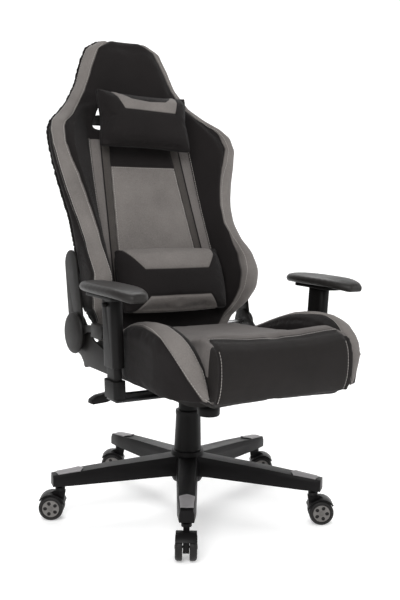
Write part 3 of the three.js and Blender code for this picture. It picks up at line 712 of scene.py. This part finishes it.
seatShape = {
    "frontLine": -0.352,
    "frontBottom": 0.446,
    "cornerSeam": 0.172,
    "cornerLift": 0.008,
    # front and lower limits of the grey beyond the corner seam, and the rise of the lower one
    "sideFront": 0.384,
    "sideLow": 0.424,
    "sideRise": 0.35,
    # y, height of the ridge's inner seam, its x, height of the outer seam, its x
    "ridge": [(-0.402, 0.372, 0.184, 0.368, 0.186), (-0.390, 0.392, 0.187, 0.372, 0.200),
              (-0.370, 0.454, 0.201, 0.431, 0.238), (-0.340, 0.480, 0.205, 0.468, 0.248),
              (-0.300, 0.505, 0.213, 0.495, 0.252), (-0.250, 0.518, 0.215, 0.512, 0.256),
              (-0.200, 0.513, 0.206, 0.514, 0.250), (-0.120, 0.500, 0.204, 0.500, 0.244),
              (0.080, 0.440, 0.200, 0.440, 0.230)],
}


def buildSeat():
    seat = stuffed("seat_cushion", "seatCushion", clothSeat, 0.006, 0.001, 4.0, 0.009, passes=6)
    co = coordsOf(seat.data)
    # fuller front corners
    sideways = np.clip((np.abs(co[:, 0] - centre.x) - 0.07) / 0.1, 0, 1)
    forward = np.clip((-0.25 - co[:, 1]) / 0.1, 0, 1)
    corner = sideways * forward
    co[:, 2] += seatShape["cornerLift"] * corner * np.clip((co[:, 2] - 0.40) / 0.05, 0, 1)
    setCoords(seat.data, co)
    co = co - np.array(centre)
    x, y, z = np.abs(co[:, 0]), co[:, 1], co[:, 2]
    # the grey top ends along the front edge, and hangs lower beyond the corner seams
    frontLine, cornerSeam = seatShape["frontLine"], seatShape["cornerSeam"]
    onTop = np.minimum(y - frontLine, z - seatShape["frontBottom"])
    behind = y + seatShape["sideFront"]
    onSide = np.minimum(behind, z - seatShape["sideLow"] - seatShape["sideRise"] * behind)
    top = np.where(x < cornerSeam, onTop, onSide)
    setAttribute(seat.data, "seatTop", top)
    frontSeam = np.where((z > 0.43) & (x < cornerSeam), np.abs(y - frontLine), 0.05)
    sideSeam = np.where(y < -0.36, np.abs(x - cornerSeam), 0.05)
    sewn(seat, np.minimum(frontSeam, sideSeam), 0.003, 0.0045)
    finishPadded(seat, "seat_cushion", "seat")
    tree = skinTree(seat)
    lines = [smoothLine(castOn(tree, [Vector((u, -0.356, 0.6)) + centre
                                      for u in np.linspace(-0.168, 0.168, 50)], (0, 0, -1)), 140)]
    for side in (-1, 1):
        lines.append(smoothLine(castOn(tree, [Vector((side * 0.168, -0.6, h)) + centre
                                              for h in np.arange(0.372, 0.478, 0.008)], (0, 1, 0)), 40))
    stitched("seatStitching", lines, "seat")

    for name, side in (("right", -1), ("left", 1)):
        bolster = stuffed("seat_bolster_" + name, "seatBolster." + name, clothBolster, 0.0055, 0.001,
                          4.0, 0.007, passes=4)
        co = coordsOf(bolster.data) - np.array(centre)
        x, y, z = side * co[:, 0], co[:, 1], co[:, 2]
        ridge = seatShape["ridge"]
        inZ, inX, outZ, outX = (table(ridge, k)(y) for k in (1, 2, 3, 4))
        toInner = x - inX
        toOuter = (x - outX) * 0.8 - (z - outZ) * 0.6
        strip = np.minimum(toInner, -toOuter)
        setAttribute(bolster.data, "ridge", np.where(z > np.minimum(inZ, outZ) - 0.05, strip, -0.01))
        seams = np.minimum(np.abs(toInner) + np.where(z < inZ - 0.03, 0.05, 0), np.abs(toOuter))
        sewn(bolster, seams, 0.0028, 0.004)
        finishPadded(bolster, "seat_bolster_" + name, "seat")
        tree = skinTree(bolster)
        lines = []
        for seamZ, seamX, shift in ((1, 2, -0.004), (1, 2, 0.004), (3, 4, -0.004), (3, 4, 0.004)):
            points = [Vector((side * (table(ridge, seamX)(v) + shift), v,
                              table(ridge, seamZ)(v) - 0.4 * shift)) + centre
                      for v in np.arange(-0.395, 0.06, 0.01)]
            lines.append(smoothLine(laidOn(tree, points), 160))
        stitched("bolsterStitching." + name, lines[1:3], "seat")
    print("seat done")


casterShape = {"radius": 0.030, "inner": 0.008, "width": 0.0165, "trail": 0.020, "ring": 0.325,
               "trails": (-31, 59, 59, 239, 239), "firstArm": -31}


def wheelMesh(name, facing):
    r, near, far = casterShape["radius"], casterShape["inner"], casterShape["inner"] + casterShape["width"]
    tyre = spun(name, [
        (0.0035, near), (r - 0.002, near), (r - 0.0006, near + 0.0012), (r, near + 0.004),
        (r, far - 0.006), (r - 0.0012, far - 0.0028), (r - 0.0035, far - 0.0008), (r - 0.006, far),
        (0.0225, far), (0.0215, far - 0.0012), (0.021, far - 0.003), (0.0035, far - 0.003),
        (0.0035, near)], treadBlack)
    hub = bpy.data.meshes.new(name + "Hub")
    work = bmesh.new()
    outer, holes = 40, 5
    rim = [work.verts.new((0.0205 * math.cos(2 * math.pi * k / outer),
                           0.0205 * math.sin(2 * math.pi * k / outer), 0)) for k in range(outer)]
    edges = [work.edges.new((rim[k], rim[(k + 1) % outer])) for k in range(outer)]
    for hole in range(holes):
        turn = 2 * math.pi * hole / holes
        ring = []
        for k in range(14):
            angle = 2 * math.pi * k / 14
            radial, sideways = 0.0132 + 0.0050 * math.cos(angle), 0.0046 * math.sin(angle)
            ring.append(work.verts.new((radial * math.cos(turn) - sideways * math.sin(turn),
                                        radial * math.sin(turn) + sideways * math.cos(turn), 0)))
        edges += [work.edges.new((ring[k], ring[(k + 1) % 14])) for k in range(14)]
    bmesh.ops.triangle_fill(work, edges=edges, use_beauty=True, use_dissolve=False)
    thick = bmesh.ops.extrude_face_region(work, geom=work.faces[:])
    bmesh.ops.translate(work, vec=(0, 0, 0.0022),
                        verts=[v for v in thick["geom"] if isinstance(v, bmesh.types.BMVert)])
    bmesh.ops.recalc_face_normals(work, faces=work.faces)
    work.to_mesh(hub)
    work.free()
    disc = putIn(name + "Disc", hub, hubGrey)
    placed(disc, Matrix.Translation((0, 0, far - 0.0028)))
    cap = spun(name + "Cap", [(0, far + 0.0012), (0.004, far + 0.001), (0.006, far), (0.0066, far - 0.0015),
                              (0.0066, far - 0.0028), (0, far - 0.0028)], hubGrey, 24)
    parts = [tyre, disc, cap]
    spin = Matrix.Rotation(math.radians(-90 if facing > 0 else 90), 4, "X")
    for part in parts:
        placed(part, Matrix.Translation((casterShape["trail"], 0, casterShape["radius"])) @ spin)
        smoothShading(part, 35)
    return parts


def buildBase():
    rounded("star_base", "base", nylon, 0.003, 3, 30)
    for index in range(5):
        number = index + 1
        heading = math.radians(casterShape["firstArm"] + 72 * index - 90)
        stem = Vector((casterShape["ring"] * math.cos(heading), casterShape["ring"] * math.sin(heading), 0))
        turn = Matrix.Rotation(math.radians(casterShape["trails"][index] - 90), 4, "Z")
        rounded(f"caster_fork_{number}", f"caster_{number}", nylon, 0.0012, 2, 35)
        for letter, facing in (("a", 1), ("b", -1)):
            for part in wheelMesh(f"wheel.{number}{letter}", facing):
                placed(part, Matrix.Translation(stem + centre) @ turn)
                if part.name == f"wheel.{number}{letter}":
                    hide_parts(f"caster_wheel_{number}{letter}")
                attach(part, f"wheel_{number}{letter}")
        trim = armTrim(f"armTrim.{number}")
        placed(trim, Matrix.Translation(centre) @ Matrix.Rotation(heading, 4, "Z"))
        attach(trim, "base")
    print("base done")


trimShape = {"start": 0.268, "end": 0.336, "halfStart": 0.0178, "halfEnd": 0.0142, "thick": 0.0016,
             "startTop": 0.1199, "endTop": 0.1133, "slip": 0.010, "tuck": 0.004}


# Grey plate lying on an arm's top near its tip.
def armTrim(name):
    mesh = bpy.data.meshes.new(name)
    work = bmesh.new()
    rows = 14
    profile = [(-1, -0.004), (-0.96, 0.0), (-0.5, 0.001), (0, 0.0013),
               (0.5, 0.001), (0.96, 0.0), (1, -0.004)]
    rings = []
    for k in range(rows + 1):
        t = k / rows
        r = trimShape["start"] + (trimShape["end"] - trimShape["start"]) * t
        top = trimShape["startTop"] + (trimShape["endTop"] - trimShape["startTop"]) * t
        half = trimShape["halfStart"] + (trimShape["halfEnd"] - trimShape["halfStart"]) * t
        slip = trimShape["slip"] * (1 - t) ** 3 - trimShape["tuck"] * (t > 0.95)
        rings.append([work.verts.new((r + slip * abs(u), u * half,
                                      top + h + trimShape["thick"] * 0.6)) for u, h in profile])
    for here, there in zip(rings, rings[1:]):
        for k in range(len(profile) - 1):
            work.faces.new((here[k], here[k + 1], there[k + 1], there[k]))
    bmesh.ops.recalc_face_normals(work, faces=work.faces)
    work.to_mesh(mesh)
    work.free()
    obj = putIn(name, mesh, trimGrey)
    wall = obj.modifiers.new("wall", "SOLIDIFY")
    wall.thickness = trimShape["thick"]
    wall.offset = 0
    flatten(obj)
    return smoothShading(obj, 40)


hardParts = {
    "base": [("lift_stand_tube", blackSteel, "black_steel"),
             ("shroud_lower", coverPlastic, "cover_plastic")],
    "lift": [("lift_cylinder", blackSteel, "lift_steel")],
    "mechanism": [("mechanism_pan", blackSteel, "black_steel"),
                  ("shroud_upper", coverPlastic, "cover_plastic"),
                  ("tilt_axle", brightSteel, "bright_steel"),
                  ("tension_spring", brightSteel, "bright_steel")],
    "tension_knob": [("tension_knob", coverPlastic, "control_plastic")],
    "lever_bush": [("lever_bush", coverPlastic, "control_plastic")],
    "height_lever": [("height_lever", coverPlastic, "control_plastic")],
    "seat": [("seat_plate", blackSteel, "black_steel"), ("seat_board", boardWood, "board_wood"),
             ("seat_cross_tube", blackSteel, "black_steel")],
    "back": [("back_frame", blackSteel, "black_steel")],
    "recline_control": [("recline_lever", sidePlastic, "control_plastic"),
                        ("sync_rod", brightSteel, "bright_steel")],
}
for side in ("right", "left"):
    hardParts["seat"] += [
        ("arm_bracket_" + side, blackSteel, "black_steel"),
        ("arm_collar_" + side, coverPlastic, "cover_plastic"),
        ("arm_post_" + side, coverPlastic, "cover_plastic"),
        ("hinge_plate_lower_" + side, sidePlastic, "black_steel"),
        ("hinge_cover_" + side, sidePlastic, "control_plastic")]
    hardParts["back"] += [("hinge_plate_upper_" + side, sidePlastic, "black_steel")]
    hardParts["arm_" + side] = [("arm_sleeve_" + side, coverPlastic, "cover_plastic"),
                                ("arm_pad_plate_" + side, coverPlastic, "cover_plastic")]
    hardParts["arm_button_" + side] = [("arm_button_" + side, coverPlastic, "control_plastic")]


# Pieces wholly or mostly inside others keep their CAD faces.
hiddenParts = ("tension_spring", "back_frame", "seat_board", "sync_rod", "tilt_axle")


def buildHardParts():
    for body, parts in hardParts.items():
        for node, material, slotName in parts:
            if node in hiddenParts:
                nodes[node].data.materials.clear()
                nodes[node].data.materials.append(material)
                continue
            rounded(node, body, material)
    for side in ("right", "left"):
        pad = mergedCopy("arm_pad_" + side, "armPad." + side, padSkin)
        finer = pad.modifiers.new("finer", "SUBSURF")
        finer.levels = finer.render_levels = 2
        flatten(pad)
        smoothShading(pad)
        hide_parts("arm_pad_" + side)
        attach(pad, "arm_" + side)
    print("hard parts done")


def buildStage():
    material, _, _, shader = newMaterial("paperFloor", 0.9)
    shader.inputs["Base Color"].default_value = (0.92, 0.92, 0.92, 1)
    shader.inputs["Specular IOR Level"].default_value = 0.1
    shader.inputs["Emission Color"].default_value = (1, 1, 1, 1)
    shader.inputs["Emission Strength"].default_value = 0.32
    mesh = bpy.data.meshes.new("floor")
    depth, rise, bend, half = 4.5, 5.0, 1.6, 9.0
    line = [(-6.0, 0.0), (depth - bend, 0.0)]
    line += [(depth - bend + bend * math.sin(a), bend - bend * math.cos(a))
             for a in np.linspace(0.1, math.pi / 2, 12)]
    line += [(depth, rise)]
    turn = Matrix.Rotation(math.radians(-31.6), 3, "Z")
    rows = [[turn @ Vector((side * half, y, z)) for y, z in line] for side in (-1, 1)]
    mesh.from_pydata([tuple(p) for row in rows for p in row], [],
                     [(k, k + len(line), k + len(line) + 1, k + 1) for k in range(len(line) - 1)])
    floor = putIn("floor", mesh, material)
    floor.location.z = -0.0005
    smoothShading(floor)
    world = bpy.data.worlds.new("studio")
    world.use_nodes = True
    world.node_tree.nodes["Background"].inputs[0].default_value = (1, 1, 1, 1)
    world.node_tree.nodes["Background"].inputs[1].default_value = 0.42
    scene.world = world
    scene.view_settings.view_transform = "Standard"
    lamps = {
        "keyLamp": {"at": (-2.2, -2.4, 3.2), "size": 2.4, "power": 120},
        "fillLamp": {"at": (3.0, -2.0, 2.0), "size": 2.5, "power": 45},
        "backLamp": {"at": (0.8, 2.2, 3.2), "size": 2.0, "power": 60},
    }
    for name, settings in lamps.items():
        lamp = bpy.data.lights.new(name, "AREA")
        lamp.size = settings["size"]
        lamp.energy = settings["power"]
        obj = bpy.data.objects.new(name, lamp)
        obj.location = settings["at"]
        aim = Vector((0, 0, 0.6)) - obj.location
        obj.rotation_euler = aim.to_track_quat("-Z", "Y").to_euler()
        scene.collection.objects.link(obj)


viewpoint = {"lens": 55.35, "sensor": 36, "at": (-1.1742, -1.9706, 0.8145),
             "turn": (82.95, -1.282, -31.635)}


def buildCamera():
    camera = bpy.data.cameras.new("camera")
    camera.lens = viewpoint["lens"]
    camera.sensor_width = viewpoint["sensor"]
    obj = bpy.data.objects.new("camera", camera)
    obj.location = viewpoint["at"]
    obj.rotation_euler = [math.radians(v) for v in viewpoint["turn"]]
    scene.collection.objects.link(obj)
    scene.camera = obj


buildCamera()
buildStage()
buildHardParts()
buildBase()
buildSeat()
buildBack()
buildPillows()
